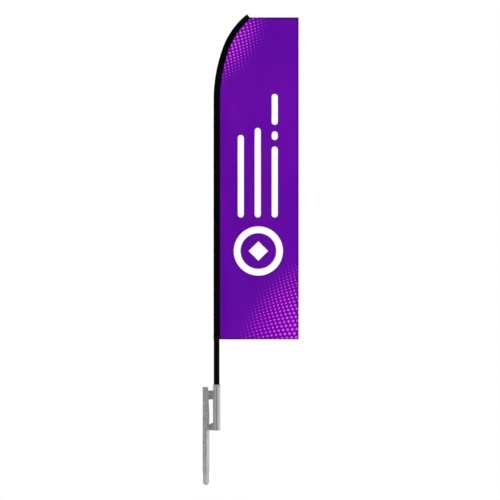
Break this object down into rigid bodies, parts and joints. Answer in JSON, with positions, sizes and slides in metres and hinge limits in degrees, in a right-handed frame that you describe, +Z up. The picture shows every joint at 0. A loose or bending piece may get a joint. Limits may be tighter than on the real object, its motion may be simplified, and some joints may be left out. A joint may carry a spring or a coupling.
{
  "type": "feather flag with pole",
  "caption": "Tall fabric feather flag on a curved push-fit pole that turns in the socket of a steel ground stake.",
  "frame": {"origin": "on the socket's axis at ground level, in the middle of the socket tube's foot", "axes": "+Z up along the pole, +X from the pole to the flag's free edge, -Y the front of the flag"},
  "size_m": [0.633, 0.0508, 3.1059],
  "materials": {
    "galvanised_steel": "dull zinc coating",
    "weld_metal": "rippled, zinc coated",
    "grey_nylon": "moulded, satin",
    "black_nylon": "moulded, matt",
    "black_aluminium": "satin powder coat",
    "bare_aluminium": "mill finish",
    "pin_steel": "ground",
    "black_fibreglass": "glossy resin",
    "black_rubber": "matt",
    "black_polyester": "woven, matt",
    "black_webbing": "heavy weave, matt",
    "printed_polyester": "knitted flag cloth, dye printed violet"
  },
  "bodies": {
    "stake": {"spike_angle": "galvanised_steel", "upper_link_plate": "galvanised_steel", "lower_link_plate": "galvanised_steel", "socket_tube": "galvanised_steel", "socket_floor_plate": "galvanised_steel", "socket_mouth_bush": "grey_nylon", "socket_welds": "weld_metal", "spike_welds": "weld_metal"},
    "turning_cup": {"pivot_cup": "black_nylon"},
    "base_pole": {"foot_plug": "black_nylon", "base_pole_tube": "black_aluminium", "joint_coupler": "bare_aluminium", "coupler_pins": "bare_aluminium"},
    "middle_pole": {"middle_pole_tube": "black_aluminium"},
    "flag_and_tip": {"tip_ferrule": "black_nylon", "ferrule_cross_pin": "pin_steel", "tip_rod": "black_fibreglass", "tip_cap": "black_rubber", "pole_sleeve": "black_polyester", "sleeve_top_pocket": "black_webbing", "sleeve_foot_band": "black_webbing", "flag_panel": "printed_polyester"}
  },
  "joints": [
    {"name": "pole_turn", "type": "hinge", "parent": "stake", "child": "turning_cup", "pos_m": [0, 0, 0], "axis": [0, 0, 1], "continuous": true},
    {"name": "pole_lift", "type": "slide", "parent": "turning_cup", "child": "base_pole", "axis": [0, 0, 1], "range_m": [0, 0.31]},
    {"name": "middle_pull", "type": "slide", "parent": "base_pole", "child": "middle_pole", "axis": [0, 0, 1], "range_m": [0, 0.11]},
    {"name": "tip_pull", "type": "slide", "parent": "middle_pole", "child": "flag_and_tip", "axis": [0, 0, 1], "range_m": [0, 0.11]}
  ]
}
